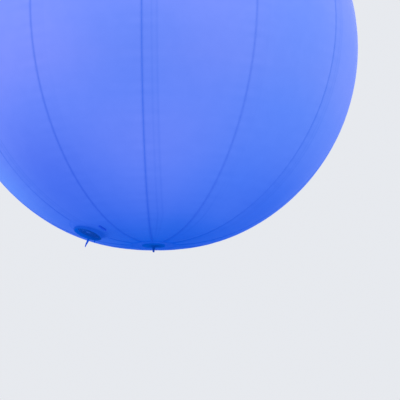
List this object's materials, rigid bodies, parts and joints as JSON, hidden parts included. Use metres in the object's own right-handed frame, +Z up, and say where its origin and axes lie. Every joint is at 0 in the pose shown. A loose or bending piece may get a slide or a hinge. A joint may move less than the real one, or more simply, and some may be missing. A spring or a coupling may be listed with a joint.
{
  "type": "hanging inflated led balloon",
  "caption": "Inflated fabric sphere of sewn gores, lit from inside, hung by a crown eye, with an axial fan in a port near its lower pole.",
  "frame": {"origin": "where the hook bears inside the hanging eye on the crown", "axes": "+Z up along the line through both poles, -Y towards the seam that faces the viewer, +X to the viewer's right"},
  "size_m": [1.998, 1.998, 2.0622],
  "materials": {
    "balloon_cloth": "matt translucent coated nylon, lit from inside",
    "cap_cloth": "matt translucent coated nylon, doubled",
    "hem_cloth": "dark blue coated cloth over a stiff ring",
    "dark_webbing": "dark blue polyester webbing",
    "dark_plastic": "moulded, fine grain",
    "gland_plastic": "moulded, fine grain",
    "plate_metal": "satin turned",
    "bright_steel": "zinc plated",
    "lamp_housing": "plain white"
  },
  "bodies": {
    "balloon": {"gore_01": "balloon_cloth", "gore_02": "balloon_cloth", "gore_03": "balloon_cloth", "gore_04": "balloon_cloth", "gore_05": "balloon_cloth", "gore_06": "balloon_cloth", "gore_07": "balloon_cloth", "gore_08": "balloon_cloth", "gore_09": "balloon_cloth", "gore_10": "balloon_cloth", "gore_11": "balloon_cloth", "gore_12": "balloon_cloth", "fan_boot": "balloon_cloth", "crown_cap": "cap_cloth", "lower_cap": "cap_cloth", "lower_patch": "dark_webbing", "lower_loop": "dark_webbing", "pull_tab": "dark_webbing", "short_tab": "dark_webbing", "mouth_hem": "hem_cloth", "fan_frame": "dark_plastic", "fan_guard": "dark_plastic", "lead_inlet": "dark_plastic", "lead_gland": "gland_plastic", "crown_plate": "plate_metal", "clamp_plate": "plate_metal", "lamp_stem": "plate_metal", "hanging_eye": "bright_steel", "eye_nut": "bright_steel", "lamp_unit": "lamp_housing"},
    "rotor": {"fan_rotor": "dark_plastic"}
  },
  "joints": [
    {"name": "fan_spin", "type": "hinge", "parent": "balloon", "child": "rotor", "pos_m": [-0.29383, -0.16964, -1.97078], "axis": [-0.2962, -0.171, -0.9397], "continuous": true}
  ]
}
